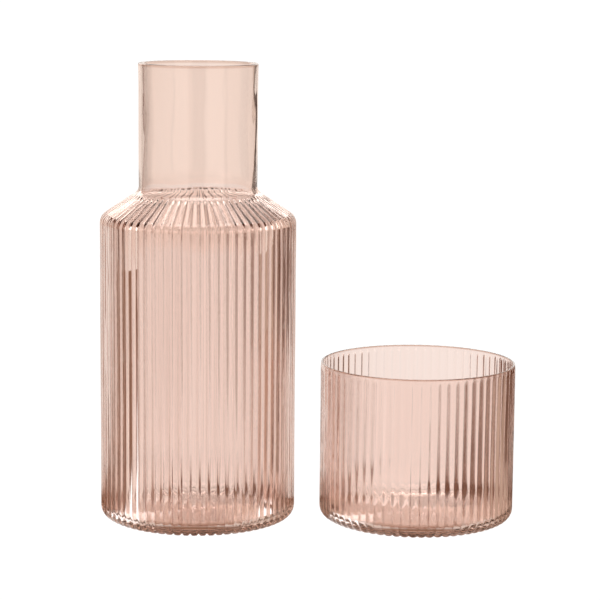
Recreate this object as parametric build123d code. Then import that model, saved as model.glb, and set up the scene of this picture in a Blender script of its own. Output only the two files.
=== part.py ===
from build123d import *
import os
from math import sin, cos, tan, asin, sqrt, pi, radians

os.makedirs("parts", exist_ok=True)

# A bedside water carafe and its tumbler, both thin tinted glass blown into a
# ribbed mould.  Millimetres, +Z up.  The origin is on the table, half way
# between the two pieces: the carafe stands on the -X side, the tumbler on the
# +X side, both on Z = 0.

# ---------------------------------------------------------------- both pieces
RIBS = 68                # rounded ribs round each piece
BODY_R = 44.0            # radius over the rib crests
CORNER_R = 5.0           # outside radius between wall and underside
FOOT_R = 39.2            # where the rib crests meet the table
DISH_R = 33.0            # edge of the shallow hollow under the base
SPACING = 99.6           # between the two axes

# --------------------------------------------------------------------- carafe
CARAFE_H = 205.3         # table to rim
SHOULDER_Z = 136.98      # height where the body wall and the shoulder cone meet
SHOULDER_DEG = 33.37     # slope of the shoulder cone, from horizontal
SHOULDER_R = 5.07        # outside radius between body and shoulder
NECK_R = 26.55           # outside of the neck
NECK_FILLET_R = 3.7      # outside radius between shoulder and neck
MOUTH_R = 24.55          # inside of the neck
RIM_R = 26.75            # outside of the neck at the rim
RIM_ROUND = 0.7          # fire-polished rim
CAVITY_R = 41.8          # inside of the body
CAVITY_FLOOR_Z = 3.2     # top of the glass bottom
CAVITY_FLOOR_ROUND = 3.5
CAVITY_SHOULDER_ROUND = 4.0
CAVITY_NECK_ROUND = 5.7
SHOULDER_WALL = 2.0      # glass across the shoulder cone
CARAFE_RIB = 1.0         # crest to groove on the straight wall
SHOULDER_RIB = 0.65      # crest to groove on the shoulder cone
CARAFE_TURN = 0.08       # turn of the ribs about the axis, in ribs
RIB_FADE_R = 31.0        # the shoulder's ribs are at full depth outside this
CARAFE_DISH = 1.4        # depth of the hollow under the base

# -------------------------------------------------------------------- tumbler
TUMBLER_H = 71.5
TUMBLER_MOUTH_R = 42.75  # inside at the rim
TUMBLER_CAVITY_R = 42.35 # inside near the bottom
TUMBLER_FLOOR_Z = 3.2
TUMBLER_FLOOR_ROUND = 3.5
TUMBLER_RIB = 0.60       # crest to groove on the wall
TUMBLER_TURN = 0.17
TUMBLER_RIM_DEPTH = 0.15 # what is left of the ribs at the rim
TUMBLER_FADE = 2.6       # height over which the ribs fade out below the rim
TUMBLER_DISH = 1.4

PITCH = 2 * pi / RIBS


def scallop(z, crest, groove):
    """A closed ring of RIBS arcs at height z, one arc over each rib."""
    edges = []
    for k in range(RIBS):
        a0, am, a1 = (k - 0.5) * PITCH, k * PITCH, (k + 0.5) * PITCH
        edges.append(ThreePointArc(
            (groove * cos(a0), groove * sin(a0), z),
            (crest * cos(am), crest * sin(am), z),
            (groove * cos(a1), groove * sin(a1), z)))
    return Face(Wire(edges))


def turned(points, radii, close):
    """A body of revolution about Z from a filleted (r, z) outline."""
    path = FilletPolyline(*[(r, z) for r, z in points], radius=radii)
    path += Polyline(*close)
    face = make_face(path)
    return revolve(Plane.XZ * face, Axis.Z)


def base_sections(depth):
    """Ribbed rings round the corner between the underside and the wall."""
    cr, cz = BODY_R - CORNER_R, CORNER_R
    rows = [(0.0, FOOT_R, FOOT_R - 0.8)]
    for z in (0.8, 2.0, 3.4):
        out = sqrt(CORNER_R ** 2 - (cz - z) ** 2)
        rows.append((z, cr + out, cr + out - depth * CORNER_R / out))
    rows.append((CORNER_R, BODY_R, BODY_R - depth))
    return rows


def dish(depth):
    """The shallow hollow under a base, which leaves a ring to stand on."""
    top = ThreePointArc((0, depth), (DISH_R * 0.5, depth * 0.75), (DISH_R, 0))
    rest = Polyline((DISH_R, 0), (DISH_R, -1), (0, -1), (0, depth))
    return revolve(Plane.XZ * make_face(top + rest), Axis.Z)


# --------------------------------------------------------------------- carafe
slope = radians(SHOULDER_DEG)
turn = pi / 2 - slope
arc_r = BODY_R - SHOULDER_R
arc_z = SHOULDER_Z - SHOULDER_R * tan(turn / 2)

rows = base_sections(CARAFE_RIB)
rows.append((arc_z, BODY_R, BODY_R - CARAFE_RIB))
for dz in (1.5, 2.9, SHOULDER_R * sin(turn)):
    a = asin(dz / SHOULDER_R)
    crest = arc_r + SHOULDER_R * cos(a)
    depth = CARAFE_RIB + (SHOULDER_RIB - CARAFE_RIB) * a / turn
    rows.append((arc_z + dz, crest, crest - depth / cos(a)))
# The ribs get shallower as they close up towards the neck.
fade_depth = SHOULDER_RIB * RIB_FADE_R / BODY_R / sin(slope)
rows.append((SHOULDER_Z + (BODY_R - RIB_FADE_R) * tan(slope), RIB_FADE_R, RIB_FADE_R - fade_depth))
neck_corner_z = SHOULDER_Z + (BODY_R - NECK_R) * tan(slope)
fillet_r = NECK_R + NECK_FILLET_R - NECK_FILLET_R * cos(turn)
fillet_z = neck_corner_z + NECK_FILLET_R * tan(turn / 2) - NECK_FILLET_R * sin(turn)
rows.append((fillet_z, fillet_r, fillet_r))

ribbed = loft([scallop(*row) for row in rows], ruled=True)

neck_arc = ThreePointArc(
    (fillet_r, fillet_z),
    (NECK_R + NECK_FILLET_R * (1 - cos(turn / 2)),
     neck_corner_z + NECK_FILLET_R * tan(turn / 2) - NECK_FILLET_R * sin(turn / 2)),
    (NECK_R, neck_corner_z + NECK_FILLET_R * tan(turn / 2)))
neck_line = neck_arc + Polyline(
    (NECK_R, neck_corner_z + NECK_FILLET_R * tan(turn / 2)),
    (NECK_R, CARAFE_H - 12), (RIM_R, CARAFE_H), (0, CARAFE_H), (0, fillet_z), (fillet_r, fillet_z))
neck = revolve(Plane.XZ * make_face(neck_line), Axis.Z)

inner_drop = SHOULDER_WALL / cos(slope)
cavity_shoulder_z = SHOULDER_Z + (BODY_R - CAVITY_R) * tan(slope) - inner_drop
cavity_neck_z = SHOULDER_Z + (BODY_R - MOUTH_R) * tan(slope) - inner_drop
cavity = turned(
    [(0, CAVITY_FLOOR_Z), (CAVITY_R, CAVITY_FLOOR_Z), (CAVITY_R, cavity_shoulder_z),
     (MOUTH_R, cavity_neck_z), (MOUTH_R, CARAFE_H + 1)],
    [CAVITY_FLOOR_ROUND, CAVITY_SHOULDER_ROUND, CAVITY_NECK_ROUND],
    [(MOUTH_R, CARAFE_H + 1), (0, CARAFE_H + 1), (0, CAVITY_FLOOR_Z)])

carafe = ribbed + neck
carafe = carafe - cavity - dish(CARAFE_DISH)
rim_edges = carafe.edges().filter_by(GeomType.CIRCLE).group_by(Axis.Z)[-1]
carafe = fillet(rim_edges, RIM_ROUND)

# -------------------------------------------------------------------- tumbler
rows = base_sections(TUMBLER_RIB)
rows.append((TUMBLER_H - TUMBLER_FADE, BODY_R, BODY_R - TUMBLER_RIB))
rows.append((TUMBLER_H - 0.8, BODY_R, BODY_R - TUMBLER_RIM_DEPTH))
rows.append((TUMBLER_H, BODY_R - 0.3, BODY_R - 0.3 - TUMBLER_RIM_DEPTH))
tumbler = loft([scallop(*row) for row in rows], ruled=True)
tumbler_cavity = turned(
    [(0, TUMBLER_FLOOR_Z), (TUMBLER_CAVITY_R, TUMBLER_FLOOR_Z),
     (TUMBLER_MOUTH_R, TUMBLER_H - 0.6), (TUMBLER_MOUTH_R + 0.3, TUMBLER_H + 0.5)],
    [TUMBLER_FLOOR_ROUND, 0.5],
    [(TUMBLER_MOUTH_R + 0.3, TUMBLER_H + 0.5), (0, TUMBLER_H + 0.5), (0, TUMBLER_FLOOR_Z)])
tumbler = tumbler - tumbler_cavity - dish(TUMBLER_DISH)

carafe = Pos(-SPACING / 2, 0, 0) * Rot(0, 0, 360 / RIBS * CARAFE_TURN) * carafe
tumbler = Pos(SPACING / 2, 0, 0) * Rot(0, 0, 360 / RIBS * TUMBLER_TURN) * tumbler

for name, solid in (("carafe", carafe), ("tumbler", tumbler)):
    pieces = solid.solids()
    print(name, "solids", len(pieces), "volume", round(solid.volume, 1),
          "box", solid.bounding_box())
    export_step(pieces[0], "parts/" + name + ".step")
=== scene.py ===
import math
import bpy
import numpy as np
from mathutils import Matrix


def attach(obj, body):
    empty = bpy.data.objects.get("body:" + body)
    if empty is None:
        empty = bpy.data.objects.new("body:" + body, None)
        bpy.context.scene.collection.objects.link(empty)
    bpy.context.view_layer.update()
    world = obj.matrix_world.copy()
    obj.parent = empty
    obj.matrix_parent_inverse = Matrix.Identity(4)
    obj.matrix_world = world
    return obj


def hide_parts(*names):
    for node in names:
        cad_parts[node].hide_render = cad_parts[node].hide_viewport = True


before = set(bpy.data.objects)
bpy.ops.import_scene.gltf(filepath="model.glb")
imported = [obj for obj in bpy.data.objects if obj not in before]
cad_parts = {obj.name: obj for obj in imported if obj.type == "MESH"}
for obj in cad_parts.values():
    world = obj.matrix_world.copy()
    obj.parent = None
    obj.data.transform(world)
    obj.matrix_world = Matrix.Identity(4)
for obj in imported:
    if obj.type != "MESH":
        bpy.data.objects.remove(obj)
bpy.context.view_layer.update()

# A ribbed carafe and tumbler in thin rose-tinted glass.  All lengths in this
# file are millimetres until a mesh is built, which is in metres.

MM = 0.001
RIBS = 68
SPACING = 99.6
BODY_R = 44.0
RIB_DEPTH = 1.0
SHOULDER_RIB = 0.65
T_RIB_DEPTH = 0.6
FACE_SHARE = 0.3
FLANK = 0.5
T_FACE_SHARE = 1.0
T_FLANK = 0.4
FLANK_SOFT = 0.03        # how softly the face turns into the flank
GROOVE_SOFT = 0.09       # how far the meeting of two ribs is rounded off, mm
JITTER = 0.022           # spread of the grooves from their even places, in pitches
VARY = 0.07              # spread of the ribs' depth
WAVE = 1.0               # unevenness of the walls
RIPPLE = 0.25
CORNER_R = 5.0
DISH_R = 33.0
DISH = 1.4

CARAFE_H = 205.3
SHOULDER_Z = 136.98
SLOPE = math.radians(33.37)
TURN = math.pi / 2 - SLOPE
SHOULDER_R = 5.07
NECK_R = 26.55
NECK_FILLET_R = 3.7
MOUTH_R = 24.55
RIM_R = 26.75
RIM_ROUND = 0.7
CAVITY_R = 41.8
FLOOR_Z = 3.2
FLOOR_ROUND = 3.5
SHOULDER_WALL = 2.0

TUMBLER_H = 71.5
T_MOUTH_R = 42.75
T_CAVITY_R = 42.35
T_FLOOR_Z = 3.2
T_FLOOR_ROUND = 3.5

# Where the sample columns lie across one rib, from one groove (-1) over the
# crest (0) to the next: close together where the wall turns into the groove.
_TURN = 1 - FLANK
_HALF = [0.35, 0.35 + 0.5 * (_TURN - 0.35), _TURN - 0.04, _TURN + 0.03, _TURN + 0.11, 0.95]
ACROSS = np.array([-1.0] + [-v for v in reversed(_HALF)] + [0.0] + _HALF)
INSIDE = 4               # columns for each rib on the smooth inside
PHASE = {"carafe": 0.08, "tumbler": 0.17}


# ------------------------------------------------------------------ geometry
# A profile is a list of rows (r, z, tr, tz): a point and the direction in
# which the outline runs there, so that surface normals are exact.
def arc(cr, cz, r, a0, a1, n, first=False):
    """n steps along an arc, leaving out its first point unless it's asked for."""
    k = np.arange(0 if first else 1, n + 1) / n
    a = np.radians(a0 + (a1 - a0) * k)
    s = 1.0 if a1 > a0 else -1.0
    return [(cr + r * math.cos(x), cz + r * math.sin(x), -s * math.sin(x), s * math.cos(x)) for x in a]


def line(r0, z0, r1, z1, at):
    """Points at the given shares of the way along a line."""
    length = math.hypot(r1 - r0, z1 - z0)
    t = ((r1 - r0) / length, (z1 - z0) / length)
    return [(r0 + (r1 - r0) * k, z0 + (z1 - z0) * k) + t for k in at]


def even(n, last=True):
    return [k / n for k in range(1, n + (1 if last else 0))]


def smooth(x):
    x = np.clip(x, 0.0, 1.0)
    return x * x * (3 - 2 * x)


def underside():
    pts = []
    for r in (8.0, 16.0, 23.0, 28.5, 32.0):
        t = np.array([1.0, -2 * DISH * r / DISH_R ** 2])
        t /= np.linalg.norm(t)
        pts.append((r, DISH * (1 - (r / DISH_R) ** 2), t[0], t[1]))
    pts += [(33.4, 0.02, 0.999, -0.04), (35.0, 0.0, 1.0, 0.0), (36.8, 0.0, 1.0, 0.0)]
    pts += arc(BODY_R - CORNER_R, CORNER_R, CORNER_R, -90, 0, 9, first=True)
    return pts


def carafe_profile():
    arc_r, arc_z = BODY_R - SHOULDER_R, SHOULDER_Z - SHOULDER_R * math.tan(TURN / 2)
    turn = math.degrees(TURN)
    neck_z = SHOULDER_Z + (BODY_R - NECK_R) * math.tan(SLOPE) + NECK_FILLET_R * math.tan(TURN / 2)
    neck_c = NECK_R + NECK_FILLET_R
    out = underside()
    out += line(BODY_R, CORNER_R, BODY_R, arc_z, even(13))
    out += arc(arc_r, arc_z, SHOULDER_R, 0, turn, 6)
    r0, z0 = out[-1][:2]
    r1 = neck_c - NECK_FILLET_R * math.cos(TURN)
    z1 = neck_z - NECK_FILLET_R * math.sin(TURN)
    out += line(r0, z0, r1, z1, (0.15, 0.3, 0.45, 0.6, 0.75, 0.84, 0.9, 0.95, 1.0))
    out += arc(neck_c, neck_z, NECK_FILLET_R, 180 + turn, 180, 6)
    out += line(NECK_R, neck_z, NECK_R, CARAFE_H - 14, even(3))
    lean = (RIM_R - NECK_R)
    for k in (0.25, 0.5, 0.75, 1.0):
        z = CARAFE_H - 14 + (14 - RIM_ROUND) * k
        out.append((NECK_R + lean * k * k, z, 2 * lean * k / (14 - RIM_ROUND), 1.0))
    outer = len(out)
    out += arc(RIM_R - RIM_ROUND, CARAFE_H - RIM_ROUND, RIM_ROUND, 0, 90, 4)
    out += arc(MOUTH_R + RIM_ROUND, CARAFE_H - RIM_ROUND, RIM_ROUND, 90, 180, 4, first=True)
    over = len(out)
    inner_z = SHOULDER_Z - SHOULDER_WALL / math.cos(SLOPE)
    fil = NECK_FILLET_R + SHOULDER_WALL
    in_neck = inner_z + (BODY_R - MOUTH_R) * math.tan(SLOPE) + fil * math.tan(TURN / 2)
    in_sh = inner_z + (BODY_R - CAVITY_R) * math.tan(SLOPE) - 4.0 * math.tan(TURN / 2)
    out += line(MOUTH_R, CARAFE_H - RIM_ROUND, MOUTH_R, in_neck, even(5))
    out += arc(MOUTH_R + fil, in_neck, fil, 180, 180 + turn, 6)
    r0, z0 = out[-1][:2]
    r1, z1 = CAVITY_R - 4.0 + 4.0 * math.cos(TURN), in_sh + 4.0 * math.sin(TURN)
    out += line(r0, z0, r1, z1, even(3))
    out += arc(CAVITY_R - 4.0, in_sh, 4.0, turn, 0, 6)
    out += line(CAVITY_R, in_sh, CAVITY_R, FLOOR_Z + FLOOR_ROUND, even(11))
    out += arc(CAVITY_R - FLOOR_ROUND, FLOOR_Z + FLOOR_ROUND, FLOOR_ROUND, 0, -90, 12)
    out += [(r, FLOOR_Z, -1.0, 0.0) for r in (24.0, 16.0, 8.0)]
    return np.array(out), outer, over


def tumbler_profile():
    out = underside()
    rim = 0.55
    out += line(BODY_R, CORNER_R, BODY_R, TUMBLER_H - 4.0, even(9))
    out += [(BODY_R, TUMBLER_H - 3.2, 0, 1), (BODY_R, TUMBLER_H - 2.5, 0, 1), (BODY_R - 0.02, TUMBLER_H - 1.9, -0.06, 1),
            (BODY_R - 0.07, TUMBLER_H - 1.2, -0.1, 1)]
    outer_r = BODY_R - 0.15
    out += [(outer_r, TUMBLER_H - rim, -0.05, 1)]
    outer = len(out)
    out += arc(outer_r - rim, TUMBLER_H - rim, rim, 0, 90, 4)
    out += arc(T_MOUTH_R + rim, TUMBLER_H - rim, rim, 90, 180, 4, first=True)
    over = len(out)
    out += line(T_MOUTH_R, TUMBLER_H - rim, T_CAVITY_R, T_FLOOR_Z + T_FLOOR_ROUND, even(9))
    out += arc(T_CAVITY_R - T_FLOOR_ROUND, T_FLOOR_Z + T_FLOOR_ROUND, T_FLOOR_ROUND, 0, -90, 12)
    out += [(r, T_FLOOR_Z, -1.0, 0.0) for r in (26.0, 17.0, 8.5)]
    return np.array(out), outer, over


def rib_depth_carafe(pts, outer):
    """Groove depth at each profile point, outside only."""
    d = np.zeros(len(pts))
    for i, (r, z) in enumerate(pts[:outer, :2]):
        if z < 0.5:
            d[i] = RIB_DEPTH * smooth((r - 35.2) / 3.8)
        else:
            over = min(max((BODY_R - r) / 2.28, 0.0), 1.0) if z > SHOULDER_Z - 6 else 0.0
            d[i] = RIB_DEPTH + (SHOULDER_RIB - RIB_DEPTH) * over
            if z > SHOULDER_Z + 1.6:
                d[i] *= r / 41.72 * smooth((r - 27.9) / 2.6)
    return d


def rib_depth_tumbler(pts, outer):
    d = np.zeros(len(pts))
    for i, (r, z) in enumerate(pts[:outer, :2]):
        if z < 0.5:
            d[i] = T_RIB_DEPTH * smooth((r - 35.2) / 3.8)
        else:
            d[i] = T_RIB_DEPTH * (0.22 + 0.78 * smooth((TUMBLER_H - 0.5 - z) / 2.6))
    # What is left of the ribs runs over the rim and dies out inside it.
    for i in range(outer, len(pts)):
        r, z = pts[i, :2]
        if z > TUMBLER_H - 1.0:
            d[i] = T_RIB_DEPTH * 0.22 * smooth((r - T_MOUTH_R) / 1.2)
    return d


def rib_drop(u, deep, face_share, flank):
    """How far the surface lies inside the crest at u, -1 to 1 across a rib, as a share of the depth.

    A gently curved face, and a steeper flank on either side that meets the
    next rib's flank in the groove.
    """
    def one(x):
        x = np.abs(x)
        k = FLANK_SOFT
        ramp_ = k * np.log1p(np.exp((x - (1 - flank)) / k)) / flank
        return face_share * x ** 2 + (1 - face_share) * ramp_

    a, b = one(u), one(2 - np.abs(u))
    k = deep / GROOVE_SOFT
    m = np.minimum(a, b)
    return m - np.log(np.exp(-k * (a - m)) + np.exp(-k * (b - m))) / k


def build(name, profile, outer, over, depth, axis_x, seed, phase, shape):
    """A closed glass shell of revolution with ribs outside, as one mesh."""
    rng = np.random.default_rng(seed)
    pitch = 2 * math.pi / RIBS
    # Each groove is a little off its even place, and each rib a little deeper
    # or shallower than the next, as the mould and the blowing leave them.
    groove = (np.arange(RIBS + 1) - 0.5 + phase) * pitch
    jitter = rng.normal(0, JITTER, RIBS) * pitch
    groove[:RIBS] += jitter
    groove[RIBS] += jitter[0]
    rib_vary = 1 + rng.normal(0, VARY, RIBS)
    theta_ph = rng.uniform(0, 2 * math.pi, (4, 8))
    z_ph = rng.uniform(0, 2 * math.pi, (4, 8))

    def columns(across):
        rib = np.repeat(np.arange(RIBS), len(across))
        u = np.tile(across, RIBS)
        theta = groove[rib] + (u + 1) / 2 * (groove[rib + 1] - groove[rib])
        vary = rib_vary[rib] * (1 + u) / 2 + rib_vary[(rib - 1) % RIBS] * (1 - u) / 2
        return theta, u, vary

    def wave(k, theta, z, waves, amp, length):
        total = 0.0
        for m, w in enumerate(waves):
            total = total + WAVE * amp / (1 + 0.4 * m) * np.sin(w * theta + theta_ph[k, m]) * np.sin(
                2 * math.pi * z / (length * (1 - 0.09 * m)) + z_ph[k, m])
        return total

    z_top = profile[:, 1].max()
    step = np.linalg.norm(np.diff(profile[:, :2], axis=0), axis=1)
    dist = np.concatenate([[0], np.cumsum(step)])

    def surface(rows, across):
        """Points and normals of some rows of the profile."""
        theta, u, vary = columns(across)
        unit = rib_drop(u, *shape)
        lo = rib_drop(np.array([0.0]), *shape)[0]
        hi = rib_drop(np.array([1.0]), *shape)[0]
        unit = (unit - lo) / (hi - lo)

        def place(th, unit, vary, i_rows):
            offs = []
            for i in i_rows:
                r, z = profile[i, :2]
                free = smooth((z - 3) / 14) * smooth((z_top - z) / 10)
                off = -depth[i] * vary * unit
                if i < outer:
                    off = off + free * wave(0, th, z, (2, 3, 5), 0.07, 95.0)
                    off = off + free * wave(1, th, z, (11, 17), 0.018, 42.0)
                elif i >= over:
                    off = off + free * wave(2, th, z, (2, 3, 5, 8), 0.10, 80.0)
                    off = off + free * wave(3, th, z, (13, 21, 29), 0.022, 34.0)
                offs.append(off)
            return np.array(offs)

        off = place(theta, unit, vary, rows)
        prof = profile[rows]
        t = prof[:, 2:] / np.linalg.norm(prof[:, 2:], axis=1)[:, None]
        n = np.stack([t[:, 1], -t[:, 0]], axis=1)
        rr = prof[:, 0:1] + n[:, 0:1] * off
        zz = prof[:, 1:2] + n[:, 1:2] * off
        free = smooth((prof[:, 1] - 3) / 14) * smooth((z_top - prof[:, 1]) / 10)
        tw = 0.0022 * np.sin(2 * math.pi * prof[:, 1] / 150.0 + seed) * free
        th = theta[None, :] + tw[:, None]
        grid = np.stack([rr * np.cos(th), rr * np.sin(th), zz], axis=2)
        # along the outline: the exact direction, turned by the change of offset
        if len(rows) > 2:
            doff = np.gradient(off, dist[rows], axis=0)
        else:
            doff = np.zeros_like(off)
        dr = t[:, 0:1] + n[:, 0:1] * doff
        dz = t[:, 1:2] + n[:, 1:2] * doff
        dv = np.stack([dr * np.cos(th), dr * np.sin(th), dz], axis=2)
        ahead = np.roll(grid, -1, axis=1) - grid
        back = grid - np.roll(grid, 1, axis=1)
        la = np.linalg.norm(ahead, axis=2, keepdims=True)
        lb = np.linalg.norm(back, axis=2, keepdims=True)
        du = (ahead / la * lb + back / lb * la) / (la + lb)
        normal = np.cross(du, dv)
        normal /= np.linalg.norm(normal, axis=2, keepdims=True)
        return grid, normal

    inside_across = -1 + 2 * np.arange(INSIDE) / INSIDE
    rows_a = np.arange(0, over)
    rows_b = np.arange(over, len(profile))
    grid_a, norm_a = surface(rows_a, ACROSS)
    grid_b, norm_b = surface(rows_b, inside_across)
    na, nb = grid_a.shape[1], grid_b.shape[1]
    verts = np.concatenate([[[0, 0, DISH]], grid_a.reshape(-1, 3), grid_b.reshape(-1, 3), [[0, 0, profile[-1, 1]]]])
    normals = np.concatenate([[[0, 0, -1.0]], norm_a.reshape(-1, 3), norm_b.reshape(-1, 3), [[0, 0, 1.0]]])
    faces = []
    ia = 1 + np.arange(len(rows_a) * na).reshape(len(rows_a), na)
    ib = 1 + ia.size + np.arange(len(rows_b) * nb).reshape(len(rows_b), nb)
    for j in range(na):
        faces.append((0, int(ia[0, (j + 1) % na]), int(ia[0, j])))
    for idx in (ia, ib):
        nxt = np.roll(idx, -1, axis=1)
        for i in range(len(idx) - 1):
            faces.extend(zip(idx[i].tolist(), nxt[i].tolist(), nxt[i + 1].tolist(), idx[i + 1].tolist()))
    # the ribbed side has more columns than the smooth side: stitch them
    per_a, per_b = len(ACROSS), INSIDE
    pa, pb = list(ACROSS) + [1.0], list(inside_across) + [1.0]
    for k in range(RIBS):
        i = j = 0
        while i < per_a or j < per_b:
            a0 = int(ia[-1, (k * per_a + i) % na])
            b0 = int(ib[0, (k * per_b + j) % nb])
            if j >= per_b or (i < per_a and pa[i + 1] <= pb[j + 1] + 1e-9):
                a1 = int(ia[-1, (k * per_a + i + 1) % na])
                faces.append((a0, a1, b0))
                i += 1
            else:
                b1 = int(ib[0, (k * per_b + j + 1) % nb])
                faces.append((a0, b1, b0))
                j += 1
    last = len(verts) - 1
    for j in range(nb):
        faces.append((int(ib[-1, j]), int(ib[-1, (j + 1) % nb]), last))
    verts = verts + [axis_x, 0, 0]

    mesh = bpy.data.meshes.new(name)
    mesh.from_pydata((verts * MM).tolist(), [], faces)
    mesh.update()
    mesh.shade_smooth()
    mesh.normals_split_custom_set_from_vertices(normals.tolist())
    obj = bpy.data.objects.new(name, mesh)
    bpy.context.scene.collection.objects.link(obj)
    tris = sum(len(f) - 2 for f in faces)
    print(name, "rows", len(rows_a), len(rows_b), "triangles", tris)
    return obj


# ------------------------------------------------------------------ materials
def nodes_of(mat):
    mat.use_nodes = True
    nt = mat.node_tree
    nt.nodes.clear()
    return nt


def glass_material(name, stops, height, color, density):
    """Tinted glass.  The stops give the tint by height: (share of the height, colour)."""
    mat = bpy.data.materials.new(name)
    nt = nodes_of(mat)
    out = nt.nodes.new("ShaderNodeOutputMaterial")
    bsdf = nt.nodes.new("ShaderNodeBsdfPrincipled")
    bsdf.inputs["Transmission Weight"].default_value = 1.0
    bsdf.inputs["IOR"].default_value = 1.50
    bsdf.inputs["Roughness"].default_value = 0.0
    bsdf.inputs["Specular Tint"].default_value = SHEEN + (1,)
    nt.links.new(bsdf.outputs["BSDF"], out.inputs["Surface"])
    vol = nt.nodes.new("ShaderNodeVolumeAbsorption")
    vol.inputs["Color"].default_value = color + (1,)
    vol.inputs["Density"].default_value = density
    nt.links.new(vol.outputs["Volume"], out.inputs["Volume"])
    coord = nt.nodes.new("ShaderNodeTexCoord")
    # The tint is a little lighter in the thin neck. At the very top it turns dark: painted shade for the dark line
    # round the rounded rim.
    xyz = nt.nodes.new("ShaderNodeSeparateXYZ")
    nt.links.new(coord.outputs["Object"], xyz.inputs[0])
    share = nt.nodes.new("ShaderNodeMapRange")
    share.inputs["From Min"].default_value = 0.0
    share.inputs["From Max"].default_value = height * MM
    nt.links.new(xyz.outputs[2], share.inputs["Value"])
    tint = nt.nodes.new("ShaderNodeValToRGB")
    els = tint.color_ramp.elements
    while len(els) > 1:
        els.remove(els[-1])
    for i, (p, rgb) in enumerate(stops):
        e = els[0] if i == 0 else els.new(p)
        e.position = p
        e.color = rgb + (1,)
    nt.links.new(share.outputs["Result"], tint.inputs["Fac"])
    nt.links.new(tint.outputs["Color"], bsdf.inputs["Base Color"])
    # Faint ripples left by blowing, far finer than the ribs.
    ripple = nt.nodes.new("ShaderNodeTexNoise")
    ripple.inputs["Scale"].default_value = 90.0
    ripple.inputs["Detail"].default_value = 2.0
    nt.links.new(coord.outputs["Object"], ripple.inputs["Vector"])
    bump = nt.nodes.new("ShaderNodeBump")
    bump.inputs["Strength"].default_value = RIPPLE
    bump.inputs["Distance"].default_value = 0.0002
    nt.links.new(ripple.outputs["Fac"], bump.inputs["Height"])
    nt.links.new(bump.outputs["Normal"], bsdf.inputs["Normal"])
    return mat


# absorption per metre: density x (1 - colour)
SHEEN = (1.0, 0.80, 0.70)
BODY_TINT = (0.976, 0.873, 0.838)
NECK_TINT = (0.986, 0.935, 0.915)
# Painted shade: this dark colour at the top of the carafe draws the dark line round its rim.
RIM_PAINTED_SHADE = (0.70, 0.52, 0.44)
T_TINT = (0.974, 0.866, 0.830)
# Painted shade: this dark colour at the top of the tumbler draws the dark line round its rim.
T_RIM_PAINTED_SHADE = (0.62, 0.42, 0.34)
CARAFE_ABS = ((0.85, 0.79, 0.75), 100.0)
TUMBLER_ABS = ((0.85, 0.79, 0.75), 100.0)
carafe_mat = glass_material("rose_glass", [(0.0, BODY_TINT), (0.70, BODY_TINT), (0.76, NECK_TINT), (0.9955, NECK_TINT), (0.9965, RIM_PAINTED_SHADE)],
                            CARAFE_H, *CARAFE_ABS)
tumbler_mat = glass_material("rose_glass_thin", [(0.0, T_TINT), (0.991, T_TINT), (0.9925, T_RIM_PAINTED_SHADE)], TUMBLER_H, *TUMBLER_ABS)

pts, outer, over = carafe_profile()
carafe = build("carafe_glass", pts, outer, over, rib_depth_carafe(pts, outer), -SPACING / 2, 11, PHASE["carafe"], (RIB_DEPTH, FACE_SHARE, FLANK))
pts, outer, over = tumbler_profile()
tumbler = build("tumbler_glass", pts, outer, over, rib_depth_tumbler(pts, outer), SPACING / 2, 23, PHASE["tumbler"], (T_RIB_DEPTH, T_FACE_SHARE, T_FLANK))
for piece, node, mat in ((carafe, "carafe", carafe_mat), (tumbler, "tumbler", tumbler_mat)):
    piece.data.materials.append(mat)
    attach(piece, node)
    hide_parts(node)
# ------------------------------------------------------- floor, light, camera
def math_node(nt, op, a, b=None, c=None):
    n = nt.nodes.new("ShaderNodeMath")
    n.operation = op
    for i, v in enumerate((a, b, c)):
        if v is None:
            continue
        if isinstance(v, (int, float)):
            n.inputs[i].default_value = v
        else:
            nt.links.new(v, n.inputs[i])
    return n.outputs[0]


DARK = (0.50, 0.85)
PALE = (0.94, 0.90)


def tone(v):
    """The studio's colour at a brightness: near white when bright, brown in the dark."""
    k = min(v, 1.0)
    w = min(max((v - 1.0) / 0.4, 0.0), 1.0)
    return (v, v * k ** DARK[0] * (PALE[0] + (1 - PALE[0]) * w), v * k ** DARK[1] * (PALE[1] + (1 - PALE[1]) * w))


def ramp(nt, fac, stops, scale=4.0):
    """A colour ramp whose stops are (position, brightness)."""
    n = nt.nodes.new("ShaderNodeValToRGB")
    els = n.color_ramp.elements
    while len(els) > 1:
        els.remove(els[-1])
    for i, (p, v) in enumerate(stops):
        e = els[0] if i == 0 else els.new(p)
        e.position = p
        e.color = tuple(c / scale for c in tone(v)) + (1,)
    nt.links.new(fac, n.inputs["Fac"])
    return n.outputs["Color"]


# Brightness round the horizon, by the angle from straight behind the object
# (+Y) in degrees, positive to the right: a bright backdrop, dark flags beside
# it, and soft panels at the sides.
ROUND = [(-180, 0.5), (-165, 0.5), (-162, 1.2), (-84, 0.9), (-76, 0.1), (-44, 0.1), (-38, 0.92), (12, 0.98), (20, 1.02), (22, 0.03), (31, 0.03), (36, 0.75), (80, 0.9), (96, 0.95), (118, 0.95), (120, 0.3), (124, 0.3), (126, 1.3), (162, 1.3), (166, 0.5), (180, 0.5)]
FLOOR_TABLE = [(-180, 0.8), (-142, 0.8), (-136, 1.6), (-110, 1.6), (-104, 0.25), (-57, 0.25), (-51, 0.95), (-20, 0.97), (14, 1.0), (22, 1.0), (25, 0.12), (58, 0.12), (68, 0.55), (110, 0.55), (130, 0.8), (180, 0.8)]
UNDER = [(0.0, 0.3), (0.30, 0.3), (0.46, 1.7), (0.66, 1.7), (0.75, 4.0)]
OVER = [(0.0, 1.0), (0.08, 1.0), (0.13, 2.2), (0.42, 2.2), (0.50, 0.1)]
SKY = [(0.90, 0.0), (0.93, 3.5)]
UNDER_R = 0.070
UNDER_Y = -0.020


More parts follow.
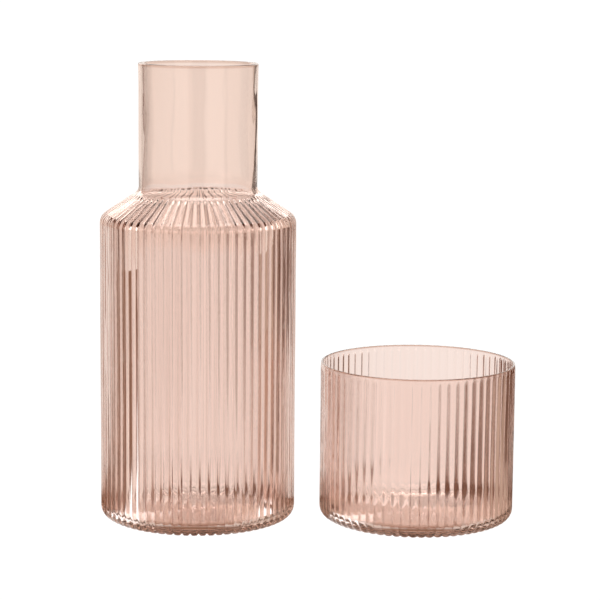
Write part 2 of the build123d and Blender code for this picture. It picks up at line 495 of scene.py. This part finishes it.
def panorama(nt, x, y, table):
    az = math_node(nt, "ARCTAN2", x, y)
    fac = math_node(nt, "MULTIPLY_ADD", az, 0.5 / math.pi, 0.5)
    return ramp(nt, fac, [((a + 180) / 360, v) for a, v in table])


world = bpy.data.worlds.new("studio")
bpy.context.scene.world = world
world.use_nodes = True
wt = world.node_tree
wt.nodes.clear()
w_out = wt.nodes.new("ShaderNodeOutputWorld")
w_coord = wt.nodes.new("ShaderNodeTexCoord")
w_xyz = wt.nodes.new("ShaderNodeSeparateXYZ")
wt.links.new(w_coord.outputs["Generated"], w_xyz.inputs[0])
w_pan = panorama(wt, w_xyz.outputs[0], w_xyz.outputs[1], ROUND)
w_bg = wt.nodes.new("ShaderNodeBackground")
w_up = ramp(wt, math_node(wt, "MAXIMUM", w_xyz.outputs[2], 0.0), OVER, 4.0)
w_dim = wt.nodes.new("ShaderNodeMix")
w_dim.data_type = "RGBA"
w_dim.blend_type = "MULTIPLY"
w_dim.inputs["Factor"].default_value = 1.0
wt.links.new(w_pan, w_dim.inputs[6])
wt.links.new(w_up, w_dim.inputs[7])
w_sky = ramp(wt, math_node(wt, "MAXIMUM", w_xyz.outputs[2], 0.0), SKY, 16.0)
w_add = wt.nodes.new("ShaderNodeMix")
w_add.data_type = "RGBA"
w_add.blend_type = "ADD"
w_add.inputs["Factor"].default_value = 1.0
wt.links.new(w_dim.outputs[2], w_add.inputs[6])
wt.links.new(w_sky, w_add.inputs[7])
wt.links.new(w_add.outputs[2], w_bg.inputs["Color"])
w_bg.inputs["Strength"].default_value = 16.0
w_cam = wt.nodes.new("ShaderNodeBackground")
w_cam.inputs["Color"].default_value = (1, 1, 1, 1)
w_cam.inputs["Strength"].default_value = 1.05
w_path = wt.nodes.new("ShaderNodeLightPath")
w_mix = wt.nodes.new("ShaderNodeMixShader")
wt.links.new(w_path.outputs["Is Camera Ray"], w_mix.inputs[0])
wt.links.new(w_bg.outputs[0], w_mix.inputs[1])
wt.links.new(w_cam.outputs[0], w_mix.inputs[2])
wt.links.new(w_mix.outputs[0], w_out.inputs["Surface"])

# The floor: a pale sheet.  As the glass sees it, it fades to the sides and is
# in shade under each piece.
mesh = bpy.data.meshes.new("floor")
size = 0.9
mesh.from_pydata([(-size, -size, -0.0003), (size, -size, -0.0003), (size, size, -0.0003), (-size, size, -0.0003)],
                 [], [(0, 1, 2, 3)])
floor = bpy.data.objects.new("floor", mesh)
bpy.context.scene.collection.objects.link(floor)
f_mat = bpy.data.materials.new("floor")
ft = nodes_of(f_mat)
f_out = ft.nodes.new("ShaderNodeOutputMaterial")
f_geo = ft.nodes.new("ShaderNodeNewGeometry")
f_xyz = ft.nodes.new("ShaderNodeSeparateXYZ")
ft.links.new(f_geo.outputs["Position"], f_xyz.inputs[0])
fx, fy = f_xyz.outputs[0], f_xyz.outputs[1]
near_x = math_node(ft, "SUBTRACT", fx, math_node(ft, "MULTIPLY", math_node(ft, "SIGN", fx), SPACING / 2 * MM))
lit = panorama(ft, near_x, fy, FLOOR_TABLE)
for axis_x in (-SPACING / 2 * MM, SPACING / 2 * MM):
    dx = math_node(ft, "SUBTRACT", fx, axis_x)
    dy = math_node(ft, "SUBTRACT", fy, UNDER_Y)
    rr = math_node(ft, "SQRT", math_node(ft, "ADD", math_node(ft, "MULTIPLY", dx, dx), math_node(ft, "MULTIPLY", dy, dy)))
    shade = ramp(ft, math_node(ft, "DIVIDE", rr, UNDER_R), UNDER, 4.0)
    both = ft.nodes.new("ShaderNodeMix")
    both.data_type = "RGBA"
    both.blend_type = "DARKEN"
    both.inputs["Factor"].default_value = 1.0
    ft.links.new(lit, both.inputs[6])
    ft.links.new(shade, both.inputs[7])
    lit = both.outputs[2]
f_em = ft.nodes.new("ShaderNodeEmission")
ft.links.new(lit, f_em.inputs["Color"])
f_em.inputs["Strength"].default_value = 4.0
f_cam = ft.nodes.new("ShaderNodeEmission")
f_cam.inputs["Color"].default_value = (1, 1, 1, 1)
f_cam.inputs["Strength"].default_value = 1.05
f_path = ft.nodes.new("ShaderNodeLightPath")
f_mix = ft.nodes.new("ShaderNodeMixShader")
ft.links.new(f_path.outputs["Is Camera Ray"], f_mix.inputs[0])
ft.links.new(f_em.outputs[0], f_mix.inputs[1])
ft.links.new(f_cam.outputs[0], f_mix.inputs[2])
ft.links.new(f_mix.outputs[0], f_out.inputs["Surface"])
mesh.materials.append(f_mat)
cam_data = bpy.data.cameras.new("camera")
cam = bpy.data.objects.new("camera", cam_data)
bpy.context.scene.collection.objects.link(cam)
cam_data.sensor_width = 36.0
cam_data.lens = 2173.7 / 600 * 36.0
cam_data.clip_start, cam_data.clip_end = 0.01, 20.0
cam.location = (-0.00386, -0.9681, 0.2517)
cam.rotation_mode = "XYZ"
look = Matrix.Rotation(math.radians(90 - 8.95), 4, "X")
roll = Matrix.Rotation(math.radians(0.486), 4, "Z")
cam.matrix_world = Matrix.Translation(cam.location) @ look @ roll
bpy.context.scene.camera = cam

scene = bpy.context.scene
scene.view_settings.view_transform = "Standard"
scene.view_settings.look = "None"
scene.cycles.max_bounces = 24
scene.cycles.transmission_bounces = 24
scene.cycles.glossy_bounces = 12
scene.cycles.transparent_max_bounces = 8
scene.cycles.volume_bounces = 0
scene.cycles.caustics_reflective = True
scene.cycles.caustics_refractive = True
